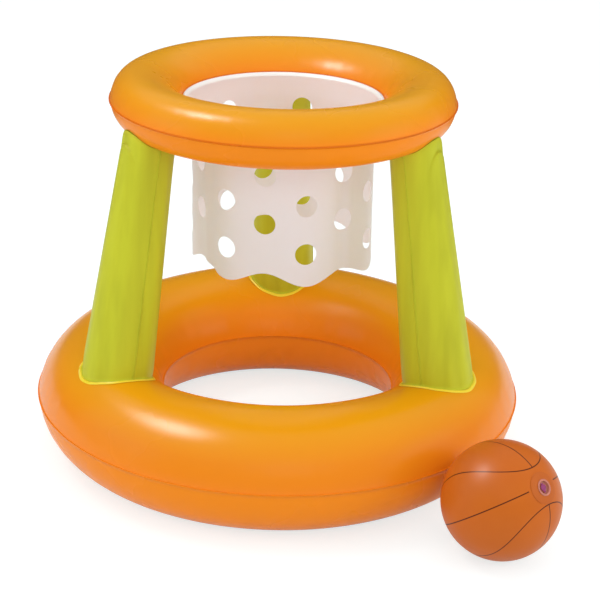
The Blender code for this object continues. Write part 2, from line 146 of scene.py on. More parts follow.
ball_radius = 0.0756
ball_disc_radius = 0.0200
gore_tip_radius = 0.0100
gore_seam_dent = 0.00001
gore_seam_reach = 0.0010

# Valve sizes

valve_hole_radius = 0.0088
valve_flat_radius = 0.0125
valve_flat_reach = 0.030
valve_flat_depth = 0.006
stopper_hinge_across = 0.0060
stopper_hinge_depth = 0.00175

low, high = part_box("base_ring_lower_sheet")
hoop = Vector(((low.x + high.x) / 2, (low.y + high.y) / 2, 0))


# Small helpers

def smooth_share(value, start, end):
    """Rises softly from 0 at the start to 1 at the end."""
    share = np.clip((value - start) / (end - start), 0, 1)
    return float(share * share * (3 - 2 * share))


def fading(form, distance):
    """How deep a form still is at a distance from where it starts."""
    depth, reach = form
    return depth * math.exp(-distance / reach)


def ripple(angle, waves):
    """A sum of waves round a ring, from (count, phase, strength) rows."""
    return sum(strength * math.sin(count * angle + phase) for count, phase, strength in waves)


def turned_away(angle, azimuth):
    """How far an angle is from an azimuth in degrees, between minus and plus half a turn."""
    return (angle - math.radians(azimuth) + math.pi) % (2 * math.pi) - math.pi


def add_object(name, shape, material):
    """Turns a finished shape into an object at the origin."""
    mesh = bpy.data.meshes.new(name)
    shape.to_mesh(mesh)
    shape.free()
    if material:
        mesh.materials.append(material)
    piece = bpy.data.objects.new(name, mesh)
    bpy.context.scene.collection.objects.link(piece)
    return piece


def add_piece(name, shape, material, body, node):
    """A smooth piece that rides on a body and replaces a node. An open sheet's edges stay crisp."""
    for edge in shape.edges:
        edge.smooth = not edge.is_boundary
    piece = add_object(name, shape, material)
    piece.data.shade_smooth()
    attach(piece, body)
    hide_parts(node)
    return piece


def add_wall(piece):
    """Gives an open sheet its thickness, inwards from the outer face."""
    wall = piece.modifiers.new("Wall", "SOLIDIFY")
    wall.thickness = film
    wall.offset = -1
    wall.use_even_offset = True
    return piece


def settle(piece):
    """Applies what modifiers a piece has to its mesh."""
    bpy.context.view_layer.update()
    evaluated = piece.evaluated_get(bpy.context.evaluated_depsgraph_get())
    mesh = bpy.data.meshes.new_from_object(evaluated)
    piece.modifiers.clear()
    piece.data = mesh


def cut(piece, cutters, operation="DIFFERENCE"):
    """Cuts a shape out of a piece, or joins one to it, and applies the result."""
    tool = add_object("cutter", cutters, None)
    modifier = piece.modifiers.new("Cut", "BOOLEAN")
    modifier.operation = operation
    modifier.solver = "EXACT"
    modifier.object = tool
    settle(piece)
    bpy.data.objects.remove(tool)
    piece.data.set_sharp_from_angle(angle=math.radians(40))


def spun(points, steps, closed=False):
    """A line of (radius, height) points turned once round Z."""
    shape = bmesh.new()
    verts = [shape.verts.new((radius, 0, height)) for radius, height in points]
    edges = [shape.edges.new(pair) for pair in zip(verts, verts[1:])]
    if closed:
        edges.append(shape.edges.new((verts[-1], verts[0])))
    bmesh.ops.spin(shape, geom=verts + edges, axis=(0, 0, 1), cent=(0, 0, 0), angle=2 * math.pi,
                   steps=steps, use_merge=True)
    bmesh.ops.remove_doubles(shape, verts=shape.verts, dist=merge_distance)
    bmesh.ops.recalc_face_normals(shape, faces=shape.faces)
    return shape


def face_outward(shape, toward):
    """Flips an open shell whose faces don't point along the directions that toward gives."""
    balance = sum(face.normal.dot(toward(face.calc_center_median())) * face.calc_area() for face in shape.faces)
    if balance < 0:
        bmesh.ops.reverse_faces(shape, faces=shape.faces)


def put_round_hoop(shape):
    """Moves a shape that was made round the origin to the hoop's own axis."""
    bmesh.ops.translate(shape, vec=hoop, verts=shape.verts)


# Materials

vinyl_gloss = 0.22
under_gloss = 0.12
leg_gloss = 0.10
weld_half_width = 0.0009
weld_fade_end = 0.0021


def new_material(name):
    """A material, its node tree and its surface shader."""
    material = bpy.data.materials.new(name)
    material.use_nodes = True
    tree = material.node_tree
    return material, tree, tree.nodes["Principled BSDF"]


def add_node(tree, kind, inputs=(), **settings):
    """A node with its inputs linked or set, and its settings made."""
    node = tree.nodes.new(kind)
    for key, value in settings.items():
        setattr(node, key, value)
    for key, value in dict(inputs).items():
        give(tree, node.inputs[key], value)
    return node


def give(tree, socket, value):
    """Links another node's output to a socket, or sets a plain value on it."""
    if isinstance(value, bpy.types.NodeSocket):
        tree.links.new(value, socket)
    else:
        socket.default_value = value


def object_place(tree):
    """The place on the object that a pattern reads."""
    return add_node(tree, "ShaderNodeTexCoord").outputs["Object"]


def colour_of(red, green, blue):
    """A display colour, 0 to 255, as the shader's linear one."""
    linear = []
    for value in (red / 255, green / 255, blue / 255):
        linear.append(value / 12.92 if value <= 0.04045 else ((value + 0.055) / 1.055) ** 2.4)
    return (*linear, 1)


def mixed(tree, share, first, second):
    """A mix of two colours, the second one growing with the share."""
    node = tree.nodes.new("ShaderNodeMix")
    node.data_type = "RGBA"
    for number, value in ((0, share), (6, first), (7, second)):
        give(tree, node.inputs[number], value)
    return node.outputs[2]


def scaled(tree, value, start, end, low_end, high_end):
    """A value between start and end, brought between the low and the high end."""
    return add_node(tree, "ShaderNodeMapRange", {"Value": value, "From Min": start, "From Max": end,
                                                 "To Min": low_end, "To Max": high_end}).outputs["Result"]


def film_surface(tree, shader, place, roughness, grain=0.03, cloud_scale=7.0):
    """Soft clouds in the gloss and a faint skin on the film, the same on every vinyl."""
    clouds = add_node(tree, "ShaderNodeTexNoise", {"Vector": place, "Scale": cloud_scale, "Detail": 3.0})
    gloss = scaled(tree, clouds.outputs["Fac"], 0.3, 0.7, roughness - 0.04, roughness + 0.05)
    tree.links.new(gloss, shader.inputs["Roughness"])
    skin = add_node(tree, "ShaderNodeTexNoise", {"Vector": place, "Scale": 420.0, "Detail": 2.0})
    bump = add_node(tree, "ShaderNodeBump", {"Height": skin.outputs["Fac"], "Strength": grain, "Distance": 0.0004})
    tree.links.new(bump.outputs["Normal"], shader.inputs["Normal"])
    return clouds.outputs["Fac"]


def ring_vinyl(name, levels, weld, tones, gloss, roughness):
    """Orange film that goes from deep at its lower level through mid to light, painted shade low down and painted
    light on its top, with a darker line at the weld.
    """
    material, tree, shader = new_material(name)
    place = object_place(tree)
    height = add_node(tree, "ShaderNodeSeparateXYZ", {"Vector": place}).outputs["Z"]
    bottom, top = levels
    deep, mid, light = tones
    # The height ramp paints shade low on the tube and light on its crown.
    ramp = add_node(tree, "ShaderNodeValToRGB", {"Fac": scaled(tree, height, bottom, top, 0.0, 1.0)})
    ramp.color_ramp.elements[0].color = deep
    ramp.color_ramp.elements[1].color = light
    seam, weld_tone = weld
    for level, tone in ((seam - weld_fade_end, deep), (seam - weld_half_width, weld_tone),
                        (seam + weld_half_width, weld_tone), (seam + weld_fade_end, deep),
                        ((bottom + top) / 2, mid)):
        spot = (level - bottom) / (top - bottom)
        if 0 < spot < 1:
            ramp.color_ramp.elements.new(spot).color = tone
    clouds = film_surface(tree, shader, place, roughness)
    colour = mixed(tree, scaled(tree, clouds, 0.35, 0.65, 0.0, 0.10), ramp.outputs["Color"], deep)
    tree.links.new(colour, shader.inputs["Base Color"])
    shader.inputs["Specular IOR Level"].default_value = gloss
    return material


def leg_vinyl():
    """Lime film with darker, thinner streaks along the leg's height, painted shade that goes with the film's soft
    flutes.
    """
    material, tree, shader = new_material("lime_film")
    place = object_place(tree)
    clouds = film_surface(tree, shader, place, 0.42)
    # Painted shade: darker streaks that stand in for the shade of the soft flutes down the film.
    drawn = add_node(tree, "ShaderNodeMapping", {"Vector": place, "Scale": (60.0, 60.0, 4.0)})
    shade_streaks = add_node(tree, "ShaderNodeTexNoise", {"Vector": drawn.outputs["Vector"], "Scale": 1.0, "Detail": 2.0})
    amount = scaled(tree, shade_streaks.outputs["Fac"], 0.35, 0.7, 0.0, 0.6)
    green = mixed(tree, clouds, colour_of(198, 201, 48), colour_of(205, 207, 52))
    colour = mixed(tree, amount, green, colour_of(183, 184, 44))
    tree.links.new(colour, shader.inputs["Base Color"])
    shader.inputs["Specular IOR Level"].default_value = leg_gloss
    return material


def flange_vinyl():
    """The legs' weld flange: lime film pressed thin over orange, brightened with painted light where the lip catches
    the light from above.
    """
    material, tree, shader = new_material("lime_flange")
    clouds = film_surface(tree, shader, object_place(tree), 0.3, cloud_scale=60.0)
    # Its bright yellow is partly the orange under the film and partly painted light on the lip.
    colour = mixed(tree, clouds, colour_of(244, 218, 44), colour_of(250, 226, 66))
    tree.links.new(colour, shader.inputs["Base Color"])
    shader.inputs["Specular IOR Level"].default_value = vinyl_gloss
    return material


def net_vinyl(name, light, dark, roughness, milky):
    """Frosted film: milky, with a little light through it."""
    material, tree, shader = new_material(name)
    clouds = film_surface(tree, shader, object_place(tree), roughness, grain=0.06, cloud_scale=22.0)
    tree.links.new(mixed(tree, clouds, light, dark), shader.inputs["Base Color"])
    shader.inputs["Subsurface Weight"].default_value = milky
    shader.inputs["Subsurface Scale"].default_value = 0.004
    shader.inputs["Subsurface Radius"].default_value = (1.0, 0.9, 0.9)
    return material


def ball_vinyl(name, centre, axes, ground, ground_deep, line_colour=None):
    """Brown-orange film. Its printed lines follow two great circles and a pair of curved seams."""
    material, tree, shader = new_material(name)
    place = object_place(tree)
    clouds = film_surface(tree, shader, place, 0.40, grain=0.08, cloud_scale=26.0)
    colour = mixed(tree, clouds, ground, ground_deep)
    if line_colour:
        colour = mixed(tree, printed_lines(tree, place, centre, axes), colour, line_colour)
    tree.links.new(colour, shader.inputs["Base Color"])
    shader.inputs["Specular IOR Level"].default_value = vinyl_gloss
    return material


line_half_width = 0.00070
line_blur = 0.00025
curved_line_latitude = 0.327
curved_line_swing = 0.537
curved_line_flattening = -0.094
plain_patch_angle = 0.31


def printed_lines(tree, place, centre, axes):
    """A mask of the ball's lines. Along the first axis runs the straight line, and across it the short one."""
    def maths(operation, *values):
        return add_node(tree, "ShaderNodeMath", dict(enumerate(values)), operation=operation).outputs[0]

    arm = add_node(tree, "ShaderNodeVectorMath", {0: place, 1: centre}, operation="SUBTRACT").outputs[0]
    arm = add_node(tree, "ShaderNodeVectorMath", {0: arm}, operation="NORMALIZE").outputs[0]
    along, across, pole = (add_node(tree, "ShaderNodeVectorMath", {0: arm, 1: axis},
                                    operation="DOT_PRODUCT").outputs["Value"] for axis in axes)
    latitude = maths("ABSOLUTE", maths("ARCSINE", across))
    longitude = maths("ARCTAN2", along, pole)
    swing = maths("POWER", maths("ABSOLUTE", maths("SINE", longitude)), 2.0)
    bend = maths("MULTIPLY_ADD", swing, curved_line_swing, curved_line_latitude)
    bend = maths("MULTIPLY_ADD", maths("MULTIPLY", swing, swing), curved_line_flattening, bend)
    from_curve = maths("ABSOLUTE", maths("SUBTRACT", latitude, bend))
    from_short = maths("ABSOLUTE", maths("ARCSINE", along))
    curved, straight, short = (
        scaled(tree, maths("MULTIPLY", distance, ball_radius), line_half_width - line_blur,
               line_half_width + line_blur, 1.0, 0.0) for distance in (from_curve, latitude, from_short))
    past_patch = maths("GREATER_THAN", maths("ABSOLUTE", longitude), plain_patch_angle)
    straight = maths("MULTIPLY", straight, past_patch)
    short = maths("MULTIPLY", short, maths("GREATER_THAN", latitude, bend))
    return maths("MAXIMUM", maths("MAXIMUM", curved, straight), short)


def valve_plastic(name, light, dark, roughness, clear):
    """Soft moulding, cloudy and partly clear."""
    material, tree, shader = new_material(name)
    clouds = film_surface(tree, shader, object_place(tree), roughness, cloud_scale=180.0)
    tree.links.new(mixed(tree, clouds, light, dark), shader.inputs["Base Color"])
    shader.inputs["Transmission Weight"].default_value = clear
    shader.inputs["IOR"].default_value = 1.48
    return material


# Rings

def tube_middle(ring):
    """The radius of a ring's tube at its middle, and half its width between the seam lips."""
    return (ring["outer"] + ring["inner"]) / 2, (ring["outer"] - ring["inner"]) / 2 - seam_lip


def ring_section(ring, below, steps=40):
    """The outer face of a ring's upper or lower sheet, from the inner lip to the outer one."""
    outer_level = hairline / 2 + film
    inner_level = ring["grip"] / 2 + film
    centre, half_width = tube_middle(ring)
    height = (ring["under"] if below else ring["over"]) - outer_level
    full = height + (ring["press"] if below else 0)
    bow = (half_width ** 2 + full ** 2) / (2 * full)
    edge = math.atan2(half_width, bow - full)
    line = [(ring["inner"], inner_level)]
    for step in range(steps + 1):
        angle = edge * (2 * step / steps - 1)
        across = bow * math.sin(angle)
        rise = min(bow * math.cos(angle) - bow + full, height)
        share = (across / half_width + 1) / 2
        level = inner_level + (outer_level - inner_level) * share
        line.append((centre + across + ring["shift"] * (1 - (across / half_width) ** 2), level + rise))
    line.append((ring["outer"], outer_level))
    sign = -1 if below else 1
    return [(radius, ring["seam"] + sign * level) for radius, level in line]


def ring_height(ring, below):
    """A function that gives a ring sheet's height at a radius."""
    radii, heights = zip(*ring_section(ring, below, 160))
    return lambda radius: float(np.interp(radius, radii, heights))


base_height = ring_height(base_ring, False)
rim_height = ring_height(rim_ring, True)


def leg_roll(x, y):
    """How far a leg rolls the base ring outwards under its foot, as a change of height."""
    middle, half_width = tube_middle(base_ring)
    across = np.clip((math.hypot(x, y) - middle) / half_width, -1, 1)
    angle = math.atan2(y, x)
    near = sum(math.exp(-(turned_away(angle, azimuth) * middle / foot_roll_reach) ** 2)
               for azimuth in leg_azimuths.values())
    return float(foot_roll * across * (1 - across ** 2) * near)


def base_top(x, y):
    """The height of the base ring's top at a point, rolled outwards near a leg."""
    return base_height(math.hypot(x, y)) + leg_roll(x, y)


def rim_underside(x, y):
    """The height of the rim's underside at a point."""
    return rim_height(math.hypot(x, y))


def pucker(shape, ring):
    """Small creases that run off both seams and die out on the crown."""
    moves = []
    for vert in shape.verts:
        radius = math.hypot(vert.co.x, vert.co.y)
        angle = math.atan2(vert.co.y, vert.co.x)
        from_outer = ring["outer"] - seam_lip - radius
        from_inner = radius - ring["inner"] - seam_lip
        push = 0.0
        for distance, (reach, waves) in ((from_outer, outer_puckers), (from_inner, inner_puckers)):
            if distance > 0:
                push += ripple(angle, waves) * distance / reach * math.exp(0.5 - 0.5 * (distance / reach) ** 2)
        moves.append((vert, vert.normal * push * ring["pucker"]))
    for vert, move in moves:
        vert.co += move


def flatten_round(shape, valve):
    """Draws a sheet flat round a valve, as its stiff flange does."""
    back = valve.inverted()
    for vert in shape.verts:
        place = back @ (vert.co + hoop)
        distance = math.hypot(place.x, place.y)
        if abs(place.z) < valve_flat_depth and distance < valve_flat_reach:
            place.z *= smooth_share(distance, valve_flat_radius, valve_flat_reach)
            vert.co = valve @ place - hoop


def make_ring_sheet(name, ring, below, material, valve=None):
    """A ring's upper or lower sheet, with a hole where a valve goes through it."""
    shape = spun(ring_section(ring, below), ring_steps)
    up = Vector((0, 0, -1 if below else 1))
    face_outward(shape, lambda place: up)
    shape.normal_update()
    pucker(shape, ring)
    if ring is base_ring and not below:
        for vert in shape.verts:
            vert.co.z += leg_roll(vert.co.x, vert.co.y)
    if valve:
        flatten_round(shape, valve)
    put_round_hoop(shape)
    sheet = add_wall(add_piece(name + "_skin", shape, material, "hoop", name))
    if valve:
        settle(sheet)
        hole = bmesh.new()
        bmesh.ops.create_cone(hole, cap_ends=True, segments=64, radius1=valve_hole_radius,
                              radius2=valve_hole_radius, depth=0.02, matrix=valve)
        cut(sheet, hole)


# Legs

def leg_place(azimuth, side, out, along, share):
    """A point of a leg's wall. Out and along are on the unit circle, or a little past it for the seam's lip,
    and the share runs from foot to head."""
    turn = math.radians(azimuth)
    outward = Vector((math.cos(turn), math.sin(turn)))
    sideways = Vector((-math.sin(turn), math.cos(turn)))
    facing_out = max(side * out, 0)
    level = hairline / 2 + film
    share = 0.5 - 0.5 * math.cos(math.pi * share)  # closer rows at both ends
    height = leg_foot["height"] + (leg_head["height"] - leg_foot["height"]) * share
    for _ in range(6):  # both ends follow the rings, so the place and the height settle together
        taper = (height - leg_foot["height"]) / (leg_head["height"] - leg_foot["height"])
        centre, depth, width = (leg_foot[key] + (leg_head[key] - leg_foot[key]) * taper
                                for key in ("radius", "depth", "width"))
        near_roof = math.exp(-max(leg_head["height"] + head_lean_reach - height, 0) / head_lean_reach)
        pulled = head_tuck[0] * facing_out * near_roof
        spot = outward * (centre + side * (level + (depth - level) * out) - pulled) + sideways * (along * width)
        floor = base_top(spot.x, spot.y) + 2 * (gap + film)
        roof = rim_underside(spot.x, spot.y) - gap / 2
        height = floor + (roof - floor) * share
    rise = height - floor
    drop = roof - height
    angle = math.atan2(along, side * out)
    crease = ripple(angle, ((11, azimuth, 0.5), (17, 2.0 * azimuth, 0.3), (5, 0.7, 0.4)))
    crease *= fading(foot_crease, rise) * (1 - math.exp(-rise / foot_crease_start))
    flute = flute_depth * ripple(angle, ((7, 0.6 * azimuth, 0.6), (12, azimuth, 0.4)))
    flute *= 1 - fading(flute_calm, drop)
    grow = fading(foot_flare, rise) + fading(head_flare, drop) - fading(foot_tuck, rise)
    grow += crease + flute - facing_out * fading(head_tuck, drop)
    lip = leg_lip if abs(along) > (1 + lip_mark) / 2 else 0
    reach = (depth - level + grow) * out
    along_place = math.copysign(min(abs(along), 1) * (width + grow) + lip, along)
    spot = outward * (centre + side * (level + reach)) + sideways * along_place
    return Vector((spot.x, spot.y, height))


def make_leg_sheet(leg, azimuth, inward, material):
    """Half of a leg's wall, with a seam lip down both of its edges."""
    shape = bmesh.new()
    bmesh.ops.create_circle(shape, segments=leg_steps, radius=1)
    bmesh.ops.create_circle(shape, segments=leg_steps, radius=1, matrix=Matrix.Translation((0, 0, 1)))
    bmesh.ops.bridge_loops(shape, edges=shape.edges[:])
    rising = [edge for edge in shape.edges if abs(edge.verts[0].co.z - edge.verts[1].co.z) > 0.5]
    bmesh.ops.subdivide_edges(shape, edges=rising, cuts=59)
    side = -1 if inward else 1
    far_half = [face for face in shape.faces if face.calc_center_median().x * side < 0]
    bmesh.ops.delete(shape, geom=far_half, context="FACES")
    seams = [edge for edge in shape.edges
             if max(abs(vert.co.x) for vert in edge.verts) < 0.001
             and abs(edge.verts[0].co.z - edge.verts[1].co.z) > 0.001]
    grown = bmesh.ops.extrude_edge_only(shape, edges=seams)["geom"]
    for vert in grown:
        if isinstance(vert, bmesh.types.BMVert):
            vert.co.y *= lip_mark
    for vert in shape.verts:
        vert.co = leg_place(azimuth, side, abs(vert.co.x), vert.co.y, vert.co.z)
    bmesh.ops.recalc_face_normals(shape, faces=shape.faces)
    turn = math.radians(azimuth)
    outward = Vector((math.cos(turn), math.sin(turn), 0)) * side
    face_outward(shape, lambda place: outward)
    put_round_hoop(shape)
    name = f"{leg}_leg_{'inner' if inward else 'outer'}"
    add_wall(add_piece(name + "_skin", shape, material, "hoop", name + "_sheet"))


def leg_end(azimuth, angle, share):
    """Where a leg's wall ends, at the foot or the head, seen from above."""
    side = -1 if math.cos(angle) < 0 else 1
    spot = leg_place(azimuth, side, abs(math.cos(angle)), math.sin(angle), share)
    return Vector((spot.x, spot.y))


def make_weld_disc(name, azimuth, share, height_at, sign, material, inset=0.0, lip=0.0, bead=0.0, hole=0.0):
    """A weld disc of film that lies on a ring, cut to the leg's end. Its lip swells to a low bead."""
    stations = [hole + (1 - hole) * step / 10 for step in range(10)]
    stations += [1 + step / 8 for step in range(9 if lip else 1)]
    shape = spun([(station, 0) for station in stations], leg_steps)
    ends = {step: leg_end(azimuth, 2 * math.pi * step / leg_steps, share) for step in range(leg_steps)}
    middle = sum(ends.values(), Vector((0, 0))) / leg_steps
    for vert in shape.verts:
        station = math.hypot(vert.co.x, vert.co.y)
        step = round(math.atan2(vert.co.y, vert.co.x) / (2 * math.pi) * leg_steps) % leg_steps
        arm = ends[step] - middle
        arm *= 1 - inset / arm.length
        on_lip = max(station - 1, 0)
        spot = middle + arm * min(station, 1) + arm.normalized() * lip * on_lip
        swell = bead * math.sin(math.pi * min(on_lip, 1))
        vert.co = (spot.x, spot.y, height_at(spot.x, spot.y) + sign * (gap + film + swell))
    face_outward(shape, lambda place: Vector((0, 0, sign)))
    put_round_hoop(shape)
    add_wall(add_piece(name + "_film", shape, material, "hoop", name))


# Net

def net_wave(angle):
    """The scallops' wave round the net, 1 at each tip and -1 between two tips."""
    return math.cos(net_scallops * (angle - net_azimuth))


def net_crease(angle):
    """How far the folds at the net's top move it outwards at an angle."""
    return sum(depth * math.exp(-(turned_away(angle, azimuth) * net_radius / width) ** 2)
               for azimuth, depth, width in net_folds)


def net_shoulder(drop):
    """The net's radius at a drop under the seam: quickly inwards first, then slowly."""
    top = rim_ring["inner"] - gap - film
    depth, reach = net_step_in
    quick = depth * (1 - math.exp(-drop / reach))
    return top - quick - (top - net_radius - depth) * smooth_share(drop, 0, net_top_drop)


def make_net(material):
    """The perforated sheet, which hangs from the rim's inner seam."""
    seam = rim_ring["seam"]
    line = [(rim_ring["inner"] + net_flange, seam), (rim_ring["inner"] - gap - film, seam)]
    slope_rows, hung_rows = 24, 62
    for row in range(1, slope_rows + 1):
        share = (row / slope_rows) ** 2
        line.append((net_shoulder(share * net_top_drop), seam - net_top_drop * share))
    for row in range(1, hung_rows + 1):
        line.append((net_radius, seam - net_top_drop - (net_drop - net_top_drop) * row / hung_rows))
    shape = spun(line, net_steps)
    shape.transform(Matrix.Rotation(net_azimuth, 4, "Z"))
    for vert in shape.verts:
        angle = math.atan2(vert.co.y, vert.co.x)
        hung = np.clip((seam - net_top_drop - vert.co.z) / (net_drop - net_top_drop), 0, 1)
        under = np.clip((seam - vert.co.z) / net_top_drop, 0, 1)
        radius = math.hypot(vert.co.x, vert.co.y)
        move = net_flute_depth * net_wave(angle) * hung + under * net_crease(angle)
        move += hung * net_sway * math.sin(3 * angle + 1.1) * math.sin(5.0 * hung + 0.6)
        scale = (radius + move) / radius
        vert.co.x *= scale
        vert.co.y *= scale
        vert.co.x += net_lean * hung
        vert.co.z += net_scallop_depth * (1 - net_wave(angle)) / 2 * hung ** 2
    face_outward(shape, lambda place: Vector((place.x, place.y, 0)))
    put_round_hoop(shape)
    net = add_wall(add_piece("net_film", shape, material, "hoop", "net_sheet"))
    settle(net)
    punches = bmesh.new()
    for column in range(2 * net_scallops):
        angle = net_azimuth + math.pi * column / net_scallops
        holes, rise = valley_column if column % 2 else tip_column
        for hole in range(holes):
            height = seam - net_drop + rise + hole * net_hole_pitch
            centre = hoop + Vector((net_radius * math.cos(angle) + punch_lean, net_radius * math.sin(angle), height))
            aim = Matrix.Rotation(angle, 4, "Z") @ Matrix.Rotation(math.pi / 2, 4, "Y")
            bmesh.ops.create_cone(punches, cap_ends=True, segments=48, radius1=net_hole_radius,
                                  radius2=net_hole_radius, depth=0.03, matrix=Matrix.Translation(centre) @ aim)
    cut(net, punches)
    net.visible_shadow = False
    net.visible_diffuse = False


def make_net_band(material):
    """The doubled strip at the top of the net, which slopes inwards from the rim's seam."""
    drops = [net_band_drop * step / 12 for step in range(13)]
    line = [(net_shoulder(drop) - gap - film, rim_ring["seam"] + gap + film - drop) for drop in drops]
    shape = spun(line, net_steps)
    face_outward(shape, lambda place: Vector((-place.x, -place.y, 0)))
    put_round_hoop(shape)
    add_wall(add_piece("net_band", shape, material, "hoop", "net_weld_band"))


# Valves, whose outlines are in millimetres from the axis and over the film

cup_outline = ((8.0, 0.8), (10.1, 0.8), (10.5, 0.55), (10.5, 0.3), (8.5, 0.3), (8.5, -3.5), (4.3, -3.5), (4.3, -8.0),
               (3.8, -8.0), (3.8, -3.0), (7.2, -3.0), (8.0, -2.3))
stem_outline = ((2.5, -1.9), (4.5, -1.9), (4.5, -2.7), (3.5, -2.7), (3.5, -18.3), (4.2, -18.3), (3.7, -19.3),
                (2.5, -19.3))
stem_tab = ((3.5, -1.5, -2.7), (6.0, 1.5, -1.9))
plug_outline = ((0, -0.5), (3.6, -0.5), (4.2, -0.8), (4.2, -1.6), (2.2, -1.6), (1.7, -4.6), (0, -4.6))
plug_strap = ((-5.8, -1.5, -1.6), (6.0, 1.5, -1.0))
flap_outline = ((0, -19.6), (3.2, -19.6), (3.2, -20.1), (0, -20.1))
moulded_edge = 0.00010


def valve_frame(valve):
    """A valve's own axes, +Z out of the chamber, read from its joints."""
    joints = {joint["name"]: joint for joint in frame["joints"]}
    out = Vector(joints[valve + "_stem_slide"]["axis"]).normalized()
    hinge = joints[valve + "_stopper_hinge"]
    side = Vector(hinge["axis"]).normalized()
    across = side.cross(out)
    origin = Vector(hinge["pos_m"]) - across * stopper_hinge_across + out * stopper_hinge_depth
    axes = Matrix((across, side, out)).transposed().to_4x4()
    return Matrix.Translation(origin) @ axes


def add_valve_part(name, outline, place, material, body, node, closed=True, arm=None):
    """A turned part of a valve, with an arm between two corners joined to it, and its edges softened."""
    shape = spun([(x / 1000, z / 1000) for x, z in outline], 64, closed)
    bmesh.ops.transform(shape, matrix=place, verts=shape.verts)
    part = add_piece(name, shape, material, body, node)
    if arm:
        low_corner, high_corner = (Vector(corner) / 1000 for corner in arm)
        block = bmesh.new()
        bmesh.ops.create_cube(block, size=1)
        middle = Matrix.Translation((high_corner + low_corner) / 2)
        size = Matrix.Diagonal((*(high_corner - low_corner), 1))
        bmesh.ops.transform(block, matrix=place @ middle @ size, verts=block.verts)
        cut(part, block, "UNION")
    edge = part.modifiers.new("Edge", "BEVEL")
    edge.width = moulded_edge
    edge.segments = 2
    edge.limit_method = "ANGLE"
    edge.angle_limit = math.radians(40)


def make_valve(valve, body, place, clear, violet):
    """A cup in the film, a stem that slides in it, a stopper on its strap and a flap at the stem's end."""
    add_valve_part(valve + "_cup", cup_outline, place, clear, body, valve + "_valve_cup")
    add_valve_part(valve + "_stem_tube", stem_outline, place, clear, valve + "_stem", valve + "_valve_stem",
                   arm=stem_tab)
    add_valve_part(valve + "_plug", plug_outline, place, violet, valve + "_stopper", valve + "_valve_stopper",
                   closed=False, arm=plug_strap)
    add_valve_part(valve + "_flap_disc", flap_outline, place, clear, valve + "_flap", valve + "_check_flap",
                   closed=False)


# Ball

def make_gore(index, centre, axes, material):
    """One of the six gores, dented a little along its seams."""
    shape = bmesh.new()
    bmesh.ops.create_grid(shape, x_segments=24, y_segments=72, size=1)
    tip = math.acos(gore_tip_radius / ball_radius)
    for vert in shape.verts:
        latitude = tip * vert.co.y
        longitude = 2 * math.pi * index / 6 + vert.co.x * math.pi / 6
        from_seam = (1 - abs(vert.co.x)) * math.pi / 6 * ball_radius * math.cos(latitude)
        radius = ball_radius - gore_seam_dent * math.exp(-(from_seam / gore_seam_reach) ** 2)
        flat = radius * math.cos(latitude)
        spot = Vector((flat * math.cos(longitude), flat * math.sin(longitude), radius * math.sin(latitude)))
        vert.co = centre + axes @ spot
    bmesh.ops.recalc_face_normals(shape, faces=shape.faces)
    face_outward(shape, lambda place: place - centre)
    number = index + 1
    add_wall(add_piece(f"ball_gore_skin_{number}", shape, material, "ball", f"ball_gore_{number}"))


def make_ball_disc(name, centre, axes, inner, side, material, node):
    """A disc of film over the gores' tips, on the valve's side or the far one."""
    over = ball_radius + gap + film
    start = math.asin(inner / over)
    end = math.asin(ball_disc_radius / over)
    angles = [start + (end - start) * step / 16 for step in range(17)]
    shape = spun([(over * math.sin(angle), side * over * math.cos(angle)) for angle in angles], 96)
    bmesh.ops.transform(shape, matrix=Matrix.Translation(centre) @ axes.to_4x4(), verts=shape.verts)
    face_outward(shape, lambda place: place - centre)
    add_wall(add_piece(name, shape, material, "ball", node))


# Finishes

# Ring tones: painted shade, deep and low on each tube, and painted light towards its crown, over the film's own
# orange.
base_shaded_low = colour_of(253, 146, 26)
rim_shaded_deep = colour_of(253, 145, 26)
base_shade_tones = (colour_of(249, 139, 24), colour_of(243, 141, 18), colour_of(238, 165, 10))
rim_shade_tones = (rim_shaded_deep, colour_of(246, 153, 16), colour_of(238, 166, 10))
base_weld = (base_ring["seam"], colour_of(249, 141, 22))
rim_weld = (rim_ring["seam"], colour_of(232, 121, 16))

base_orange = ring_vinyl("orange_base_film", (0.075, 0.156), base_weld, base_shade_tones, vinyl_gloss, 0.23)
# The undersides keep the deep tone of painted shade all over, with less gloss.
base_under = ring_vinyl("orange_base_underside", (0.0, 0.086), base_weld, [base_shaded_low] * 3, under_gloss, 0.26)
rim_orange = ring_vinyl("orange_rim_film", (0.490, 0.532), rim_weld, rim_shade_tones, vinyl_gloss, 0.27)
rim_under = ring_vinyl("orange_rim_underside", (0.460, 0.500), rim_weld, [rim_shaded_deep] * 3, under_gloss, 0.28)
lime_film = leg_vinyl()
lime_flange = flange_vinyl()
frosted = net_vinyl("frosted_film", colour_of(255, 252, 254), colour_of(254, 248, 252), 0.42, milky=0.6)
frosted_band = net_vinyl("frosted_band_film", colour_of(255, 255, 254), colour_of(255, 254, 252), 0.38, milky=0.0)
clear_soft = valve_plastic("clear_moulding", colour_of(224, 146, 122), colour_of(214, 128, 104), 0.24, clear=0.2)
violet_soft = valve_plastic("violet_moulding", colour_of(184, 84, 140), colour_of(160, 58, 120), 0.12, clear=0.2)

# Hoop

base_valve = valve_frame("base")
frame_valve = valve_frame("frame")

make_ring_sheet("base_ring_upper_sheet", base_ring, False, base_orange, base_valve)
make_ring_sheet("base_ring_lower_sheet", base_ring, True, base_under)
make_ring_sheet("rim_upper_sheet", rim_ring, False, rim_orange, frame_valve)
make_ring_sheet("rim_lower_sheet", rim_ring, True, rim_under)

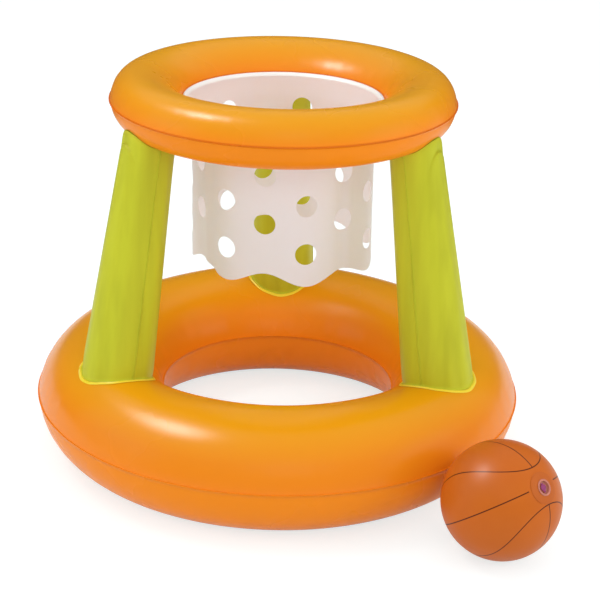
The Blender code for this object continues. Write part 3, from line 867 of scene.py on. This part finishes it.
for leg, leg_azimuth in leg_azimuths.items():
    make_leg_sheet(leg, leg_azimuth, False, lime_film)
    make_leg_sheet(leg, leg_azimuth, True, lime_film)
    make_weld_disc(leg + "_leg_foot_disc", leg_azimuth, 0, base_top, 1, lime_flange, lip=foot_lip, bead=foot_bead)
    make_weld_disc(leg + "_leg_head_disc", leg_azimuth, 1, rim_underside, -1, lime_film, inset=0.0010, hole=0.25)

make_net(frosted)
make_net_band(frosted_band)

make_valve("base", "hoop", base_valve, clear_soft, violet_soft)
make_valve("frame", "hoop", frame_valve, clear_soft, violet_soft)

# Ball beside the hoop

ball_valve = valve_frame("ball")
ball_axes = ball_valve.to_3x3()

# The disc round the valve meets the cup at the edge of its hole

disc_edge_height = math.sqrt((ball_radius + gap + film) ** 2 - valve_hole_radius ** 2)
ball_centre = ball_valve.translation - ball_axes.col[2] * disc_edge_height

# The axes of its lines: along the straight one, across it, and out through the gap in it

line_axes = (Vector((0.71315, 0.70101, 0.0002)), Vector((-0.42057, 0.42762, 0.80016)),
             Vector((0.56083, -0.57072, 0.59978)))
ball_film = ball_vinyl("ball_film", ball_centre, line_axes, colour_of(208, 107, 25), colour_of(201, 99, 20),
                       line_colour=colour_of(74, 24, 2))
ball_patch = ball_vinyl("ball_patch_film", ball_centre, line_axes, colour_of(202, 104, 34), colour_of(192, 94, 28))

for gore_index in range(6):
    make_gore(gore_index, ball_centre, ball_axes, ball_film)
make_ball_disc("ball_valve_patch", ball_centre, ball_axes, valve_hole_radius, 1, ball_patch, "ball_valve_disc")
make_ball_disc("ball_far_patch", ball_centre, ball_axes, 0.0, -1, ball_patch, "ball_far_disc")
make_valve("ball", "ball", ball_valve, clear_soft, violet_soft)


# Floor, light and camera

aim_point = (0, 0, 0.25)
key_place = (-1.27, -0.13, 2.35)
floor_half_size = 15
floor_glow = 1.43
glow_seen_by = (("Is Camera Ray", 0.50), ("Is Glossy Ray", 0.24), ("Is Transmission Ray", 0.50))
flag_radius = 1.0
flag_levels = (0.10, 1.05)
flag_start = math.radians(22)
flag_sweep = math.radians(158)
camera_lens = 100.5
camera_yaw, camera_pitch, camera_roll = 0.008343, 0.386396, 0.026280
camera_from_hoop = (0.010475, -2.148691, 1.082291)


def matt_material(name, colour, roughness):
    """A plain dull finish for the studio's own pieces."""
    material, tree, shader = new_material(name)
    shader.inputs["Base Color"].default_value = colour
    shader.inputs["Roughness"].default_value = roughness
    shader.inputs["Specular IOR Level"].default_value = 0.0
    return material, tree, shader


def glow_share(tree):
    """How much of the floor's glow a ray sees. Light on its way to the object sees none of it."""
    path = add_node(tree, "ShaderNodeLightPath")
    shares = 0.0
    for ray, share in glow_seen_by:
        part = add_node(tree, "ShaderNodeMath", {0: path.outputs[ray], 1: share}, operation="MULTIPLY").outputs[0]
        shares = add_node(tree, "ShaderNodeMath", {0: part, 1: shares}, operation="MAXIMUM").outputs[0]
    return shares


def make_floor():
    """A pale floor, half of whose whiteness is a glow that lights nothing."""
    shape = bmesh.new()
    bmesh.ops.create_grid(shape, x_segments=1, y_segments=1, size=floor_half_size)
    material, tree, shader = matt_material("pale_floor", (0.86, 0.90, 0.92, 1), 0.9)
    glow = add_node(tree, "ShaderNodeEmission", {"Color": (0.94, 1, 1, 1), "Strength": floor_glow})
    blend = add_node(tree, "ShaderNodeMixShader", {0: glow_share(tree), 1: shader.outputs[0], 2: glow.outputs[0]})
    tree.links.new(blend.outputs[0], tree.nodes["Material Output"].inputs["Surface"])
    add_object("floor", shape, material)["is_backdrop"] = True


def add_flag():
    """A dark curved flag behind the object. It only takes the glare off the gloss at the edges."""
    shape = bmesh.new()
    verts = [shape.verts.new((flag_radius, 0, height)) for height in flag_levels]
    edge = shape.edges.new(verts)
    bmesh.ops.spin(shape, geom=verts + [edge], axis=(0, 0, 1), cent=(0, 0, 0), angle=flag_sweep, steps=48)
    shape.transform(Matrix.Rotation(flag_start, 4, "Z"))
    put_round_hoop(shape)
    flag = add_object("flag", shape, matt_material("flag_cloth", (0.09, 0.09, 0.09, 1), 1.0)[0])
    flag.visible_camera = False
    flag.visible_diffuse = False
    flag.visible_transmission = False
    flag.visible_shadow = False
    flag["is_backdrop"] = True


def add_softbox(name, place, width, height, power, fades=True):
    """An oval softbox aimed at the object. One that fades is brightest in its middle."""
    light = bpy.data.lights.new(name, "AREA")
    light.shape = "ELLIPSE"
    light.size = width
    light.size_y = height
    light.energy = power
    if fades:
        light.use_nodes = True
        tree = light.node_tree
        spot = add_node(tree, "ShaderNodeNewGeometry").outputs["Parametric"]
        away = add_node(tree, "ShaderNodeVectorMath", {0: spot, 1: (0.5, 0.5, 0)}, operation="DISTANCE")
        fade = add_node(tree, "ShaderNodeMapRange",
                        {"Value": away.outputs["Value"], "From Min": 0.06, "From Max": 0.5, "To Min": 1.0,
                         "To Max": 0.0}, interpolation_type="SMOOTHSTEP")
        tree.links.new(fade.outputs["Result"], tree.nodes["Emission"].inputs["Strength"])
    lamp = bpy.data.objects.new(name, light)
    lamp.location = place
    lamp.rotation_mode = "QUATERNION"
    lamp.rotation_quaternion = (Vector(aim_point) - Vector(place)).to_track_quat("-Z", "Y")
    bpy.context.scene.collection.objects.link(lamp)
    return lamp


def add_room(low_level, top_level):
    """A white room round the floor, brightest overhead."""
    world = bpy.data.worlds.new("studio")
    world.use_nodes = True
    tree = world.node_tree
    ray = add_node(tree, "ShaderNodeTexCoord").outputs["Generated"]
    rise = add_node(tree, "ShaderNodeSeparateXYZ", {"Vector": ray}).outputs["Z"]
    level = add_node(tree, "ShaderNodeMapRange",
                     {"Value": rise, "From Min": 0.25, "From Max": 0.85, "To Min": low_level, "To Max": top_level},
                     interpolation_type="SMOOTHSTEP")
    background = tree.nodes["Background"]
    background.inputs["Color"].default_value = (1, 1, 1, 1)
    tree.links.new(level.outputs["Result"], background.inputs["Strength"])
    bpy.context.scene.world = world


def add_camera():
    """The photograph's viewpoint: in front of the hoop, looking down on it, and tilted a little."""
    level, drop = math.cos(camera_pitch), math.sin(camera_pitch)
    ahead = Vector((math.sin(camera_yaw) * level, math.cos(camera_yaw) * level, -drop))
    right = Vector((math.cos(camera_yaw), -math.sin(camera_yaw), 0))
    up = right.cross(ahead)
    rolled_right = right * math.cos(camera_roll) + up * math.sin(camera_roll)
    rolled_up = up * math.cos(camera_roll) - right * math.sin(camera_roll)
    data = bpy.data.cameras.new("camera")
    data.lens = camera_lens
    data.sensor_width = 36
    camera = bpy.data.objects.new("camera", data)
    axes = Matrix((rolled_right, rolled_up, -ahead)).transposed().to_4x4()
    camera.matrix_world = Matrix.Translation(hoop + Vector(camera_from_hoop)) @ axes
    bpy.context.scene.collection.objects.link(camera)
    bpy.context.scene.camera = camera


make_floor()
add_flag()
add_softbox("left_softbox", key_place, 1.04, 0.88, power=21)
gloss_card = add_softbox("left_gloss_card", key_place, 1.40, 1.20, power=150)
gloss_card.visible_diffuse = False
for side, place, power in (("left", (-2.3, -0.7, 0.95), 8.5), ("right", (2.3, -0.7, 0.95), 12.5),
                           ("front", (0.3, -2.6, 1.75), 10.5)):
    fill = add_softbox(side + "_fill", place, 1.6, 1.2, power, fades=False)
    fill.visible_glossy = False
add_room(low_level=0.465, top_level=0.87)
bpy.context.scene.view_settings.view_transform = "Standard"
add_camera()

low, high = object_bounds()
